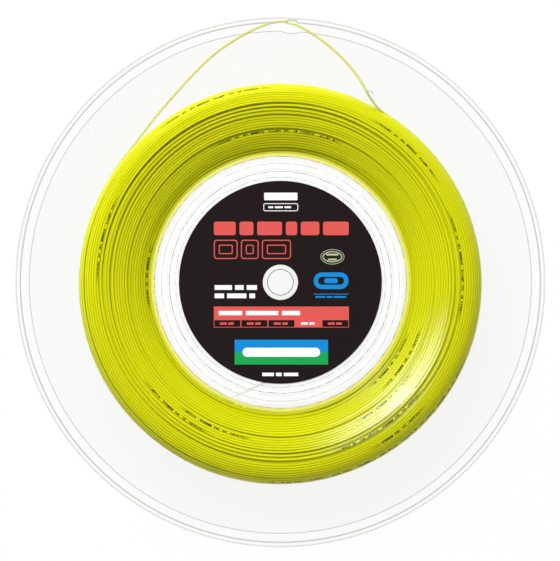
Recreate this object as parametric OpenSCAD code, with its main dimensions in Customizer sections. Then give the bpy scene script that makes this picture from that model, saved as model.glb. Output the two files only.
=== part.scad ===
// String reel: two clear flanges snapped together over a drum sleeve, a round front label
// with a small seal on it, and one length of monofilament wound on the drum.
//
// The reel lies on its rear face. The origin is the centre of that face, and +Z runs along
// the reel's axis, out through the label. Clock angles run clockwise from +Y, seen from the front.

/* [Flanges] */
// Outer radius of both flanges
rim_r = 140; // [130:1:160]
// Thickness of both flange plates
plate_t = 1.6; // [1.2:0.1:2.4]
// Clear width between the flanges
gap_w = 26; // [24:0.5:34]
// Width of the bead round the front rim
bead_w = 2.8; // [2.4:0.1:4]
// Height of the bead over the front plate
bead_h = 1.4; // [0.8:0.1:2.4]

/* [Hub] */
// Outer radius of the drum sleeve, which the string is wound on
drum_r = 68.1; // [66:0.1:74]
// Wall of the drum sleeve
drum_wall = 1.5; // [1:0.1:2.4]
// Distance from the drum sleeve's inside in to where the two hub rings slide into each other
ring_inset = 7.9; // [4:0.1:12]
// Wall of each hub ring
ring_wall = 1.5; // [1:0.1:2.2]
// Radial clearance between parts that slide together
slide_fit = 0.05; // [0.03:0.01:0.15]
// Space between a part's end and the plate that it points at
end_gap = 0.3; // [0.1:0.05:0.6]
// How far the snap ridge stands out of the front hub ring
snap_h = 0.35; // [0.2:0.05:0.6]
// Height of the snap ridge above the rear plate
snap_rise = 7; // [5:0.5:12]
// Radius of the spindle bore
bore_r = 6.7; // [5:0.1:10]
// Wall of the bore tube
bore_wall = 1.5; // [1:0.1:2.4]
// Length of the collar that guides the bore tube
collar_h = 6; // [3:0.5:12]
// Height of the ledge that centres the drum sleeve on each flange
ledge_h = 1.2; // [0.8:0.1:2.5]

/* [Threading] */
// Clock angle of the slot at the rim
rim_slot_angle = 2.5; // [0:0.5:8]
// Length of the slot at the rim
rim_slot_l = 6; // [5:0.1:9]
// Width of the slot at the rim
rim_slot_w = 3; // [2.6:0.1:4]
// Clock angle of the round hole that takes the free end
end_hole_angle = 25.4; // [20:0.1:34]
// Distance of the round hole from the axis
end_hole_at = 109.4; // [104:0.2:120]
// Radius of the round hole
end_hole_r = 2.6; // [2:0.1:4]
// Clock angle of the string slot in the drum sleeve
drum_slot_angle = 204.5; // [200:0.5:210]
// Width of the string slot in the drum sleeve
drum_slot_w = 8; // [6:0.5:12]
// Clock angle of the string slots in the hub rings
ring_slot_angle = 195; // [190:0.5:198]
// Width of the string slots in the hub rings
ring_slot_w = 7; // [6:0.5:12]
// Depth of the string slots below the front plate
slot_depth = 9.5; // [8:0.5:14]

/* [Label] */
// Radius of the front label
label_r = 53.7; // [40:0.1:60]
// Radius of the hole in the label
label_hole_r = 9.3; // [8.3:0.1:14]
// Thickness of the label
label_t = 0.25; // [0.15:0.05:0.5]
// Width of the oval seal
seal_w = 12.6; // [8:0.2:16]
// Height of the oval seal
seal_l = 8; // [5:0.2:12]
// Thickness of the seal
seal_t = 0.12; // [0.08:0.02:0.3]
// Distance of the seal to the right of the axis
seal_x = 27.5; // [18:0.5:36]
// Distance of the seal above the axis
seal_y = 13.5; // [-20:0.5:24]

/* [String] */
// Diameter of the string
string_d = 1.3; // [1.1:0.05:1.4]
// Outer radius of the winding
wound_r = 109.9; // [95:0.1:112]
// Greatest width of the winding
wound_w = 24; // [20:0.2:25]
// Distance from the winding's rim in to its widest place
wound_shoulder = 14.9; // [12:0.1:22]
// Width of the winding where it meets the drum sleeve
wound_foot_w = 9; // [7:0.1:14]
// How square the section is outside its widest place: 2 is an ellipse
wound_outer_power = 2.3; // [2:0.05:3]
// How square the section is inside its widest place: 1 is a straight slope
wound_inner_power = 1.5; // [1.3:0.05:2.5]
// Loops of the outer layer
loops = 24; // [12:1:24]
// Clock angle at which the outer layer starts
loop_start_angle = 216; // [214:1:219]

/* [Hidden] */

clear_plastic = [0.90, 0.93, 0.94];
string_yellow = [0.86, 0.89, 0.05];
core_yellow = [0.78, 0.80, 0.05];
label_black = [0.14, 0.11, 0.11];
seal_silver = [0.72, 0.74, 0.66];

// Heights of the plates' faces
rear_in = plate_t;
front_in = rear_in + gap_w;
front_out = front_in + plate_t;
mid_z = rear_in + gap_w / 2;

// Rounding of the plates' edges, and the steps that draw a quarter of it
edge_round = 0.5;
bead_round = bead_h * 0.8;
quarter_steps = 6;
// Play that lets one cut run past a face
over = 1;

// Radii of the hub
drum_in_r = drum_r - drum_wall;
ring_r = drum_in_r - ring_inset;
ledge_r = drum_in_r - slide_fit;
ledge_wall = 1.2;
spigot_out_r = ring_r - slide_fit;
spigot_in_r = spigot_out_r - ring_wall;
socket_in_r = ring_r + slide_fit;
socket_out_r = socket_in_r + ring_wall;
tube_r = bore_r + bore_wall;
collar_in_r = tube_r + slide_fit;
collar_out_r = collar_in_r + bore_wall;
snap_z = rear_in + snap_rise;
slot_floor = front_in - slot_depth;

// The winding's section, and the drop from its skin to the plain core under the outer layer
section_steps = 72;
core_steps = 44;
loop_rings = 24;
loop_sides = 6;
// A loop's chords cut inside its circle by this much at the rim of the winding
chord_sag = wound_r * (1 - cos(180 / loop_rings));
layer_gap = 0.15;
core_drop = string_d + chord_sag + layer_gap;
core_seat = 0.1;
foot_r = drum_r + core_seat;

tail_sides = 8;
tail_steps = 2;

// Route of the string's start: from inside the hub, through the slots, to the first loop. Each
// point is its distance out from the drum's face, its clock angle and its depth below the plate.
start_route = [
    [-17.6, 182.3, 5.0], [-14.3, 188.0, 5.2], [-10.6, 193.1, 5.5], [-6.7, 197.4, 5.9],
    [-3.0, 201.2, 6.4], [-0.3, 204.4, 7.0], [0.9, 207.9, 7.4], [1.1, 211.5, 7.6]];

// Route of the string's free end: off the winding, out through the rim slot, back in through
// the round hole, and down between two loops
tail_route = [
    [-91.9, 57.4, 15.3], [-86.7, 65.3, 15.3], [-80.9, 72.8, 15.3], [-75.2, 80.1, 15.5],
    [-69.6, 87.2, 16.3], [-63.8, 93.8, 17.6], [-58.2, 99.8, 19.0], [-52.4, 105.8, 20.4],
    [-46.4, 111.8, 21.8], [-40.0, 117.8, 23.2], [-33.3, 123.1, 24.5], [-26.4, 127.6, 25.6],
    [-19.4, 131.6, 26.4], [-12.4, 135.0, 26.8], [-6.4, 137.2, 26.8], [-2.0, 138.2, 26.8],
    [1.6, 138.4, 26.8], [4.5, 137.7, 27.1], [6.1, 137.0, 28.6], [7.6, 136.3, 29.9],
    [10.6, 134.8, 30.0], [15.2, 132.3, 30.0], [20.4, 128.9, 30.0], [26.0, 124.5, 30.0],
    [31.2, 119.8, 30.0], [35.8, 115.0, 30.0], [39.6, 110.4, 30.0], [42.6, 105.9, 30.0],
    [45.0, 101.7, 30.0], [46.1, 100.1, 29.4], [47.1, 98.7, 28.2], [48.5, 97.1, 26.7],
    [50.1, 95.1, 25.1], [52.1, 93.2, 23.6], [54.6, 91.2, 22.4], [57.3, 89.2, 21.6],
    [60.2, 87.2, 21.3], [63.2, 85.1, 21.2], [66.1, 82.8, 21.2]];

// ---- Small functions ----

// A point at a distance and a clock angle from the axis
function clock(r, angle) = [r * sin(angle), r * cos(angle)];

// Points of an arc, for round corners of turned profiles
function arc(centre, r, from, to, steps = quarter_steps) =
    [for (i = [0:steps]) let (a = from + (to - from) * i / steps) centre + r * [cos(a), sin(a)]];

// A power that keeps the sign of its base
function signed_pow(v, e) = sign(v) * pow(abs(v), e);

function unit(v) = v / norm(v);

function total(list, i = 0, sum = 0) = i >= len(list) ? sum : total(list, i + 1, sum + list[i]);

// Running totals of a list, starting at 0
function running(list) = [for (i = 0, s = 0; i <= len(list); s = s + (i < len(list) ? list[i] : 0),
                               i = i + 1) s];

function route_length(points) =
    total([for (i = [1:len(points) - 1]) norm(points[i] - points[i - 1])]);

// A smooth curve through the points of a route, with some steps from each point to the next
function smooth(points, steps) =
    let (last = len(points) - 1)
    [for (i = [0:last - 1]) let (a = points[max(i - 1, 0)], b = points[i], c = points[i + 1],
                                 d = points[min(i + 2, last)])
        for (k = [0:(i == last - 1 ? steps : steps - 1)]) let (t = k / steps)
            0.5 * (2 * b + (c - a) * t + (2 * a - 5 * b + 4 * c - d) * t * t
                   + (3 * b - a - 3 * c + d) * t * t * t)];

// ---- The winding's section and its spiral ----

// The section rounds off outside its widest place, and narrows to its foot's width on the drum
wound_mid_r = wound_r - wound_shoulder;
upper_h = wound_shoulder;
foot_turn = 180 - asin(pow(wound_foot_w / wound_w, wound_inner_power / 2));
lower_h = (wound_mid_r - foot_r) / pow(-cos(foot_turn), 2 / wound_inner_power);

// A point of the section's skin, sunk by a depth, at a turn from its outermost place
function skin(turn, sink) =
    let (outside = cos(turn) > 0, power = outside ? wound_outer_power : wound_inner_power)
    [wound_mid_r + ((outside ? upper_h : lower_h) - sink) * signed_pow(cos(turn), 2 / power),
     mid_z + (wound_w / 2 - sink) * signed_pow(sin(turn), 2 / power)];

// The turn at which the sunk skin meets a radius close to the drum
function drum_turn(sink, r) =
    180 - acos(pow((wound_mid_r - r) / (lower_h - sink), wound_inner_power / 2));

loop_sink = string_d / 2;
loop_turn = drum_turn(loop_sink, (foot_r + loop_sink) / cos(180 / loop_rings));
loop_skin = [for (i = [0:section_steps]) skin(loop_turn * (1 - 2 * i / section_steps), loop_sink)];
skin_steps = [for (i = [1:section_steps]) norm(loop_skin[i] - loop_skin[i - 1])];
skin_at = running(skin_steps);
skin_length = skin_at[section_steps];
r_table = [for (i = [0:section_steps]) [skin_at[i], loop_skin[i][0]]];
z_table = [for (i = [0:section_steps]) [skin_at[i], loop_skin[i][1]]];

// The outer layer's centre line: it winds on clockwise while it creeps over the skin
loop_count = loops * loop_rings;
loop_path = [for (i = [0:loop_count]) let (s = skin_length * i / loop_count,
                                           flat = clock(lookup(s, r_table),
                                                        loop_start_angle + 360 * i / loop_rings))
    [flat[0], flat[1], lookup(s, z_table)]];
first_way = unit(loop_path[1] - loop_path[0]);
last_way = unit(loop_path[loop_count] - loop_path[loop_count - 1]);
loop_line = concat([loop_path[0] - string_d * first_way], loop_path,
                   [loop_path[loop_count] + string_d * last_way]);

// Least gap between neighbouring loops, measured between the points of the centre line
half_loop = loop_rings / 2;
loop_gap = min([for (i = [0:loop_count - half_loop])
    for (j = [i + half_loop:min(i + 3 * half_loop, loop_count)])
        norm(loop_path[i] - loop_path[j])]) - string_d;

start_join = loop_line[0] - string_d * first_way;
start_points = [for (p = start_route) concat(clock(drum_r + p[0], p[1]), [front_in - p[2]])];
start_line = concat(smooth(concat(start_points, [start_join]), tail_steps), [loop_line[0]]);
tail_line = smooth(tail_route, tail_steps);

echo(least_gap_between_loops_mm = loop_gap);
echo(outer_layer_length_mm = route_length(loop_path));
echo(string_start_length_mm = route_length(start_line));
echo(string_end_length_mm = route_length(tail_line));

// ---- Shared modules ----

// A tube of flat facets swept along a line that never runs straight up
module swept_tube(line, d, sides) {
    last = len(line) - 1;
    points = [for (i = [0:last])
        let (way = unit(line[min(i + 1, last)] - line[max(i - 1, 0)]),
             side = unit(cross(way, [0, 0, 1])),
             up = cross(side, way))
        for (k = [0:sides - 1])
            let (a = 360 * k / sides) line[i] + d / 2 * (cos(a) * side + sin(a) * up)];
    walls = [for (i = [0:last - 1]) for (k = [0:sides - 1])
        let (a = i * sides + k, b = i * sides + (k + 1) % sides, c = a + sides, e = b + sides)
            each [[a, b, e], [a, e, c]]];
    first_cap = [for (k = [1:sides - 2]) [0, k + 1, k]];
    last_cap = [for (k = [1:sides - 2]) [last * sides, last * sides + k, last * sides + k + 1]];
    polyhedron(points, concat(walls, first_cap, last_cap), convexity = 10);
}

// A plain ring wall standing on a height
module ring_wall_at(r_in, r_out, z, h) {
    translate([0, 0, z])
        difference() {
            cylinder(h = h, r = r_out, $fn = 180);
            translate([0, 0, -over]) cylinder(h = h + 2 * over, r = r_in, $fn = 180);
        }
}

// A straight cut through a ring wall at a clock angle
module wall_slot(angle, r, width, z, h) {
    rotate([0, 0, -angle])
        translate([-width / 2, r - 3 * ring_wall, z])
            cube([width, 6 * ring_wall, h]);
}

// A turned solid of a list of [radius, height] points
module turned(profile) {
    rotate_extrude($fn = 180) polygon(profile);
}

// ---- The pieces ----

module rear_flange() {
    color(clear_plastic)
    difference() {
        union() {
            turned(concat(
                [[collar_in_r, 0]],
                arc([rim_r - edge_round, edge_round], edge_round, -90, 0),
                arc([rim_r - edge_round, rear_in - edge_round], edge_round, 0, 90),
                [[collar_out_r, rear_in], [collar_out_r, rear_in + collar_h],
                 [collar_in_r, rear_in + collar_h]]));
            ring_wall_at(ledge_r - ledge_wall, ledge_r, rear_in, ledge_h);
            difference() {
                ring_wall_at(socket_in_r, socket_out_r, rear_in, gap_w - end_gap);
                wall_slot(ring_slot_angle, ring_r, ring_slot_w, slot_floor, slot_depth + over);
            }
        }
        // Groove that takes the snap ridge
        turned([[socket_in_r - over, snap_z - snap_h - slide_fit - over],
                [socket_in_r, snap_z - snap_h - slide_fit],
                [socket_in_r + snap_h, snap_z],
                [socket_in_r, snap_z + snap_h + slide_fit],
                [socket_in_r - over, snap_z + snap_h + slide_fit + over]]);
    }
}

module drum_sleeve() {
    color(clear_plastic)
    difference() {
        ring_wall_at(drum_in_r, drum_r, rear_in, gap_w);
        wall_slot(drum_slot_angle, drum_r, drum_slot_w, slot_floor, slot_depth + over);
    }
}

module front_flange() {
    bead_in_r = rim_r - bead_w;
    bead_top = front_out + bead_h;
    color(clear_plastic)
    difference() {
        union() {
            turned(concat(
                [[bore_r, 0], [tube_r, 0], [tube_r, front_in]],
                arc([rim_r - edge_round, front_in + edge_round], edge_round, -90, 0),
                arc([rim_r - bead_round, bead_top - bead_round], bead_round, 0, 90),
                arc([bead_in_r + edge_round, bead_top - edge_round], edge_round, 90, 180),
                [[bead_in_r, front_out], [bore_r, front_out]]));
            ring_wall_at(ledge_r - ledge_wall, ledge_r, front_in - ledge_h, ledge_h);
            difference() {
                union() {
                    ring_wall_at(spigot_in_r, spigot_out_r, rear_in + end_gap, gap_w - end_gap);
                    // Snap ridge
                    turned([[spigot_out_r - ring_wall / 2, snap_z - snap_h],
                            [spigot_out_r, snap_z - snap_h], [spigot_out_r + snap_h, snap_z],
                            [spigot_out_r, snap_z + snap_h],
                            [spigot_out_r - ring_wall / 2, snap_z + snap_h]]);
                }
                wall_slot(ring_slot_angle, ring_r, ring_slot_w, 0, front_in);
            }
        }
        // Slot at the rim, cut into the bead
        rotate([0, 0, -rim_slot_angle])
            translate([0, rim_r - bead_w, front_in - over])
                rim_slot_cut(plate_t + bead_h + 2 * over);
        // Round hole for the free end
        translate(concat(clock(end_hole_at, end_hole_angle), [front_in - over]))
            cylinder(h = plate_t + 2 * over, r = end_hole_r, $fn = 48);
    }
}

// A slot with round ends, along the rim
module rim_slot_cut(h) {
    reach = (rim_slot_l - rim_slot_w) / 2;
    union() {
        for (x = [-reach, reach]) translate([x, 0, 0]) cylinder(h = h, d = rim_slot_w, $fn = 48);
        translate([-reach, -rim_slot_w / 2, 0]) cube([2 * reach, rim_slot_w, h]);
    }
}

module front_label() {
    color(label_black) ring_wall_at(label_hole_r, label_r, front_out, label_t);
}

module seal_sticker() {
    color(seal_silver)
    translate([seal_x, seal_y, front_out + label_t])
        linear_extrude(seal_t)
            polygon([for (i = [0:47]) [seal_w / 2 * cos(7.5 * i), seal_l / 2 * sin(7.5 * i)]]);
}

module winding_core() {
    side = [for (i = [0:core_steps]) skin(foot_turn * (1 - 2 * i / core_steps), core_drop)];
    color(core_yellow)
        turned(concat([[foot_r, side[0][1]]], side, [[foot_r, side[core_steps][1]]]));
}

module winding_outer() {
    color(string_yellow) swept_tube(loop_line, string_d, loop_sides);
}

module string_start() {
    color(string_yellow) swept_tube(start_line, string_d, tail_sides);
}

module string_end() {
    color(string_yellow) swept_tube(tail_line, string_d, tail_sides);
}

rear_flange();
drum_sleeve();
winding_core();
winding_outer();
string_start();
string_end();
front_flange();
front_label();
seal_sticker();
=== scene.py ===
# %% [markdown]
# # A string reel
# A stringer buys tennis string by the reel: about 200 m of polyester monofilament, wound on a
# wide clear plastic reel. Two clear flanges snap together over a short drum, the string is
# wound between them, and a printed paper label covers the hub. This lesson dresses the
# measured model of the reel: the cells below give the sizes, and each adds one piece.

import math

import bmesh
import bpy
import numpy as np
from mathutils import Matrix, Vector


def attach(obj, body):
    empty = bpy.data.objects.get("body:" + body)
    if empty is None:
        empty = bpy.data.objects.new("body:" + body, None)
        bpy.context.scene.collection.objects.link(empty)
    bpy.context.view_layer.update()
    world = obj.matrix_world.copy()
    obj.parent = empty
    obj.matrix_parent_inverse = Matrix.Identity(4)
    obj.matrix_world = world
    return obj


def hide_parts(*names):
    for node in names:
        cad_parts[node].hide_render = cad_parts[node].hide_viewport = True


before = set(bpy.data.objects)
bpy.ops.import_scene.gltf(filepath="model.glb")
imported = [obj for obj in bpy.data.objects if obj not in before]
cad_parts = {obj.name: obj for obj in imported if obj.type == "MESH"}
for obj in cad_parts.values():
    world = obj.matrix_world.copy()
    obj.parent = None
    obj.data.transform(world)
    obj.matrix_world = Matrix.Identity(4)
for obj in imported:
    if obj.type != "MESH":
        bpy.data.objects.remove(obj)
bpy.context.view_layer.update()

# %% [markdown]
# ## The camera
# The reel lies on its rear face and the camera looks straight down on it, upright like a
# picture on a wall. It is close, under half a metre away, so the front flange looks larger
# than the rear one, and the two rims show as separate rings. A short lens shift centres the
# frame a hair above the axis.

# %% Camera
scene = bpy.context.scene
scene.view_settings.view_transform = "Standard"
IMAGE_WIDTH = 560
CAMERA_HEIGHT = 0.485
PIXELS_PER_RADIAN = 861.5
SENSOR_WIDTH = 36
SHIFT_PIXELS = (-0.4, 1.8)

lens = bpy.data.cameras.new("camera")
lens.sensor_fit = "HORIZONTAL"
lens.sensor_width = SENSOR_WIDTH
lens.lens = SENSOR_WIDTH * PIXELS_PER_RADIAN / IMAGE_WIDTH
lens.shift_x, lens.shift_y = (pixels / IMAGE_WIDTH for pixels in SHIFT_PIXELS)
camera = bpy.data.objects.new("camera", lens)
camera.location = (0, 0, CAMERA_HEIGHT)
scene.collection.objects.link(camera)
scene.camera = camera
print("lens, mm:", round(lens.lens, 2))

# %% [markdown]
# ## Small helpers
# Colours are written as they look on a screen and turned to linear light once. Every material
# is a small tree of nodes, so one function adds a node, sets it and links it, and the kinds of
# node that come up most have a short name of their own.

# %% Node helpers
MM = 0.001


def linear(hex_colour):
    """A screen colour such as #E6E600 as linear light, with full alpha."""
    parts = [int(hex_colour[i:i + 2], 16) / 255 for i in (1, 3, 5)]
    return tuple(c / 12.92 if c <= 0.04045 else ((c + 0.055) / 1.055) ** 2.4
                 for c in parts) + (1.0,)


def add_node(tree, kind, inputs=None, **settings):
    """Adds a node. An input is a number, a colour, or the output of another node."""
    node = tree.nodes.new(kind)
    for name, value in settings.items():
        setattr(node, name, value)
    for name, value in (inputs or {}).items():
        if isinstance(value, bpy.types.NodeSocket):
            tree.links.new(value, node.inputs[name])
        else:
            node.inputs[name].default_value = value
    return node


def new_material(name, inputs):
    """A material of one Principled shader, with its tree and the shader."""
    made = bpy.data.materials.new(name)
    made.use_nodes = True
    tree = made.node_tree
    tree.nodes.clear()
    shader = add_node(tree, "ShaderNodeBsdfPrincipled", inputs)
    output = add_node(tree, "ShaderNodeOutputMaterial", {"Surface": shader.outputs[0]})
    return made, tree, shader, output


def calc(tree, operation, *values, **settings):
    """The result of a Math node on numbers or outputs."""
    return add_node(tree, "ShaderNodeMath", dict(enumerate(values)), operation=operation,
                    **settings).outputs[0]


def remap(tree, value, low, high, to_low=0.0, to_high=1.0):
    """Spreads the values between two limits over another range, and keeps them inside it."""
    return add_node(tree, "ShaderNodeMapRange", {
        "Value": value, "From Min": low, "From Max": high, "To Min": to_low,
        "To Max": to_high}).outputs[0]


def mix(tree, factor, a, b, data_type="RGBA"):
    """Two colours or two numbers mixed: a where the factor is 0 and b where it is 1."""
    return add_node(tree, "ShaderNodeMix", {"Factor": factor, "A": a, "B": b},
                    data_type=data_type).outputs["Result"]


def mix_shaders(tree, factor, a, b):
    """The same for two shaders."""
    return add_node(tree, "ShaderNodeMixShader", {0: factor, 1: a, 2: b}).outputs[0]


def noise(tree, scale, detail):
    """Soft noise through the object, in patches of about 1 / scale metres."""
    place = add_node(tree, "ShaderNodeTexCoord")
    return add_node(tree, "ShaderNodeTexNoise", {
        "Vector": place.outputs["Object"], "Scale": scale, "Detail": detail}).outputs[0]


# %% [markdown]
# A clock angle runs clockwise from straight up, as on a watch. The other helpers turn a mesh
# into a finished piece.

# %% Shape helpers
def clock(radius, degrees):
    """x and y of a point at a distance and a clock angle from the axis."""
    angle = np.radians(degrees)
    return radius * np.sin(angle), radius * np.cos(angle)


def add_object(name, data):
    """A new object in the scene."""
    made = bpy.data.objects.new(name, data)
    scene.collection.objects.link(made)
    return made


def fit(bm, verts, size, middle):
    """Scales a unit shape to its size and moves it to its place, both in mm."""
    bmesh.ops.scale(bm, verts=verts, vec=[s * MM for s in size])
    bmesh.ops.translate(bm, verts=verts, vec=[m * MM for m in middle])


def mesh_of(name, bm):
    """A bmesh as a mesh. The bmesh is freed."""
    mesh = bpy.data.meshes.new(name)
    bm.to_mesh(mesh)
    bm.free()
    return mesh


def finish_piece(name, shape, materials, sharp=35, on_reel=True):
    """Makes a mesh or bmesh a piece with smooth faces and sharp corners."""
    mesh = mesh_of(name, shape) if isinstance(shape, bmesh.types.BMesh) else shape
    for m in materials:
        mesh.materials.append(m)
    mesh.shade_smooth()
    mesh.set_sharp_from_angle(angle=math.radians(sharp))
    made = add_object(name, mesh)
    if on_reel:
        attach(made, "root")
    print(f"{name}: {len(mesh.polygons)} faces")
    return made


# %% [markdown]
# ## The string's finish
# The string is extruded polyester, drawn until it is glossy and slightly see-through, and
# dyed a bright acid yellow. Its maker prints a line of small black text along it. Here the
# text is plain dashes. They are drawn where the attribute "lay" says: its x is the distance
# along a printed stretch, its y the distance round the string, and its z is how far a point
# faces out of the winding. Its y also lays a painted shade along each strand's sides, where it
# lies against the next.

# %% String material
STRING_D = 1.3
# The print, in mm: the grid of its blots, of which a share stays bare, then each mark and the
# room it takes, and words of two lengths and their spacings
BLOT_GRID = (0.4, 0.36, 9.0)
PRINT_RHYTHMS = ((1.0, 1.2), (11.4, 13.7), (7.5, 8.9))
BARE_SHARE = 0.24
HALF_PRINT_H = 0.50


def string_material(name, marked=False, alone=False):
    """Glossy yellow polyester monofilament, with or without its printed marks and the painted
    shade in the grooves between strands. One strand alone lets through some of what lies behind
    it."""
    made, tree, shader, _ = new_material(name, {
        "Alpha": 0.55 if alone else 1.0,
        "Roughness": 0.21, "IOR": 1.57, "Specular IOR Level": 0.3,
        "Subsurface Weight": 0.1, "Subsurface Radius": (1.0, 1.0, 0.05),
        "Subsurface Scale": 0.0012})
    # Slow drift of the dye along the reel, in patches of about 40 mm
    colour = mix(tree, noise(tree, 25.0, 2.0), linear("#DCDE00"), linear("#E6E600"))
    if marked:
        lay = add_node(tree, "ShaderNodeAttribute", attribute_name="lay").outputs["Vector"]
        part = add_node(tree, "ShaderNodeSeparateXYZ", {"Vector": lay}).outputs
        grid = add_node(tree, "ShaderNodeVectorMath", {0: lay, 1: BLOT_GRID}, operation="SNAP")
        blot = add_node(tree, "ShaderNodeTexWhiteNoise", {"Vector": grid.outputs[0]},
                        noise_dimensions="2D")
        off = calc(tree, "ABSOLUTE", part["Y"])
        tests = [calc(tree, "GREATER_THAN", blot.outputs["Value"], BARE_SHARE),
                 calc(tree, "LESS_THAN", off, HALF_PRINT_H),
                 calc(tree, "GREATER_THAN", part["Z"], 0.0)]
        for length, spacing in PRINT_RHYTHMS:
            run = calc(tree, "MODULO", part["X"], spacing)
            tests.append(calc(tree, "LESS_THAN", run, length))
        inked = add_node(tree, "ShaderNodeAttribute", attribute_name="printed").outputs["Fac"]
        for test in tests:
            inked = calc(tree, "MULTIPLY", inked, test)
        # Painted shade: where a strand lies against the next, 0.2 mm of its side is painted
        # darker, as the shadow in the groove between them
        groove_shade = mix(tree, remap(tree, off, 0.38, 0.62), colour, linear("#B4B600"))
        colour = mix(tree, inked, groove_shade, linear("#0B0C05"))
    tree.links.new(colour, shader.inputs["Base Color"])
    return made


string_plain = string_material("polyester_string")
string_alone = string_material("polyester_string_see_through", alone=True)
string_printed = string_material("polyester_string_printed", marked=True)

# %% [markdown]
# ## The free end of the string
# The last length of the string leaves the winding, goes out through a slot at the rim and
# comes back in through a round hole, so that it can't spring loose. It is a curve through
# the same points as in the measured model, made into a tube of the string's diameter.

# %% Free end
END_ROUTE = [
    (-91.9, 57.4, 15.3), (-86.7, 65.3, 15.3), (-80.9, 72.8, 15.3), (-75.2, 80.1, 15.5),
    (-69.6, 87.2, 16.3), (-63.8, 93.8, 17.6), (-58.2, 99.8, 19.0), (-52.4, 105.8, 20.4),
    (-46.4, 111.8, 21.8), (-40.0, 117.8, 23.2), (-33.3, 123.1, 24.5), (-26.4, 127.6, 25.6),
    (-19.4, 131.6, 26.4), (-12.4, 135.0, 26.8), (-6.4, 137.2, 26.8), (-2.0, 138.2, 26.8),
    (1.6, 138.4, 26.8), (4.5, 137.7, 27.1), (6.1, 137.0, 28.6), (7.6, 136.3, 29.9),
    (10.6, 134.8, 30.0), (15.2, 132.3, 30.0), (20.4, 128.9, 30.0), (26.0, 124.5, 30.0),
    (31.2, 119.8, 30.0), (35.8, 115.0, 30.0), (39.6, 110.4, 30.0), (42.6, 105.9, 30.0),
    (45.0, 101.7, 30.0), (46.1, 100.1, 29.4), (47.1, 98.7, 28.2), (48.5, 97.1, 26.7),
    (50.1, 95.1, 25.1), (52.1, 93.2, 23.6), (54.6, 91.2, 22.4), (57.3, 89.2, 21.6),
    (60.2, 87.2, 21.3), (63.2, 85.1, 21.2), (66.1, 82.8, 21.2)]


def smooth_route(points, steps):
    """A smooth curve through points, with some steps from each point to the next."""
    p = np.array(points, float)
    p = np.vstack([p[:1], p, p[-1:]])
    t = (np.arange(steps) / steps)[:, None]
    runs = [0.5 * (2 * b + (c - a) * t + (2 * a - 5 * b + 4 * c - d) * t ** 2
                   + (3 * b - a - 3 * c + d) * t ** 3)
            for a, b, c, d in zip(p[:-3], p[1:-2], p[2:-1], p[3:])]
    return np.vstack(runs + [p[-1:]])


def string_curve(name, points_mm, bevel_steps=4, closed=True):
    """A curve object through points in millimetres, as thick as the string."""
    curve = bpy.data.curves.new(name, "CURVE")
    curve.dimensions = "3D"
    spline = curve.splines.new("POLY")
    spline.points.add(len(points_mm) - 1)
    four = np.c_[np.asarray(points_mm) * MM, np.ones(len(points_mm))]
    spline.points.foreach_set("co", four.ravel())
    curve.bevel_depth = STRING_D / 2 * MM
    curve.bevel_resolution = bevel_steps
    curve.use_fill_caps = closed
    return add_object(name, curve)


def run_length(points):
    """The length of a route, in the unit of its points."""
    return float(np.linalg.norm(np.diff(points, axis=0), axis=1).sum())


end_points = smooth_route(END_ROUTE, 4)
end_length = run_length(end_points)
string_end = string_curve("string_end_tube", end_points)
string_end.data.materials.append(string_alone)
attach(string_end, "root")
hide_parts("string_end")
print("free end, mm:", round(end_length, 1))

# %% [markdown]
# ## The winding
# A machine lays the string in even loops while a guide creeps from flange to flange. A full
# reel looks like a fat ring with a rounded section, and the outermost layer shows as fine
# parallel lines that drift and close up here and there. So the winding is made as real
# loops: one long curve creeps over the section while every loop wanders a little, and the
# loops are then pushed apart until none cuts into its neighbour. A second layer lies below
# it, wound back the other way, and a plain core fills the rest.

# %% The section
DRUM_R = 68.1
WOUND_R = 108.8
SHOULDER = 13.8
MID_R = WOUND_R - SHOULDER
MID_Z = 14.6
WOUND_W = 24.0
FOOT_W = 9.0
OUTER_POWER = 3.0
INNER_POWER = 1.5
FOOT_R = DRUM_R + 0.1
START_ANGLE = 216
SKIN_STEPS = 1441
# Half the turn of one chord of a loop, in degrees. A chord is nearest the drum in its middle
HALF_CHORD = 2

foot_turn = math.pi - math.asin((FOOT_W / WOUND_W) ** (INNER_POWER / 2))
lower_h = (MID_R - FOOT_R) / (-math.cos(foot_turn)) ** (2 / INNER_POWER)


def section(turn, sink):
    """Radius and height of the winding's skin, sunk by a depth, at a turn from its rim."""
    c, s = np.cos(turn), np.sin(turn)
    power = np.where(c > 0, OUTER_POWER, INNER_POWER)
    high = np.where(c > 0, SHOULDER, lower_h) - sink
    return (MID_R + high * np.sign(c) * np.abs(c) ** (2 / power),
            MID_Z + (WOUND_W / 2 - sink) * np.sign(s) * np.abs(s) ** (2 / power))


class Skin:
    """The section at one depth, read by the distance along it from the front foot."""

    def __init__(self, sink):
        foot = (FOOT_R + STRING_D / 2) / math.cos(math.radians(HALF_CHORD))
        last = math.pi - math.acos(((MID_R - foot) / (lower_h - sink)) ** (INNER_POWER / 2))
        turn = np.linspace(last, -last, SKIN_STEPS)
        self.r, self.z = section(turn, sink)
        steps = np.hypot(np.diff(self.r), np.diff(self.z))
        self.at = np.concatenate([[0], np.cumsum(steps)])
        self.length = self.at[-1]
        self.way_r, self.way_z = np.gradient(self.r, self.at), np.gradient(self.z, self.at)

    def place(self, along, degrees, lift, slope):
        """3-D points, and the directions out of the winding there. The slope is how fast the
        lift grows along the section."""
        r, z, wr, wz = (np.interp(along, self.at, v)
                        for v in (self.r, self.z, self.way_r, self.way_z))
        size = np.hypot(wr, wz)
        wr, wz = wr / size, wz / size
        x, y = clock(r - lift * wz, degrees)
        nr, nz = -wz - slope * wr, wr - slope * wz
        size = np.hypot(nr, nz)
        nx, ny = clock(nr / size, degrees)
        return np.c_[x, y, z + lift * wr], np.c_[nx, ny, nz / size]


print("winding section, mm round:", round(Skin(STRING_D / 2).length, 1))

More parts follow.
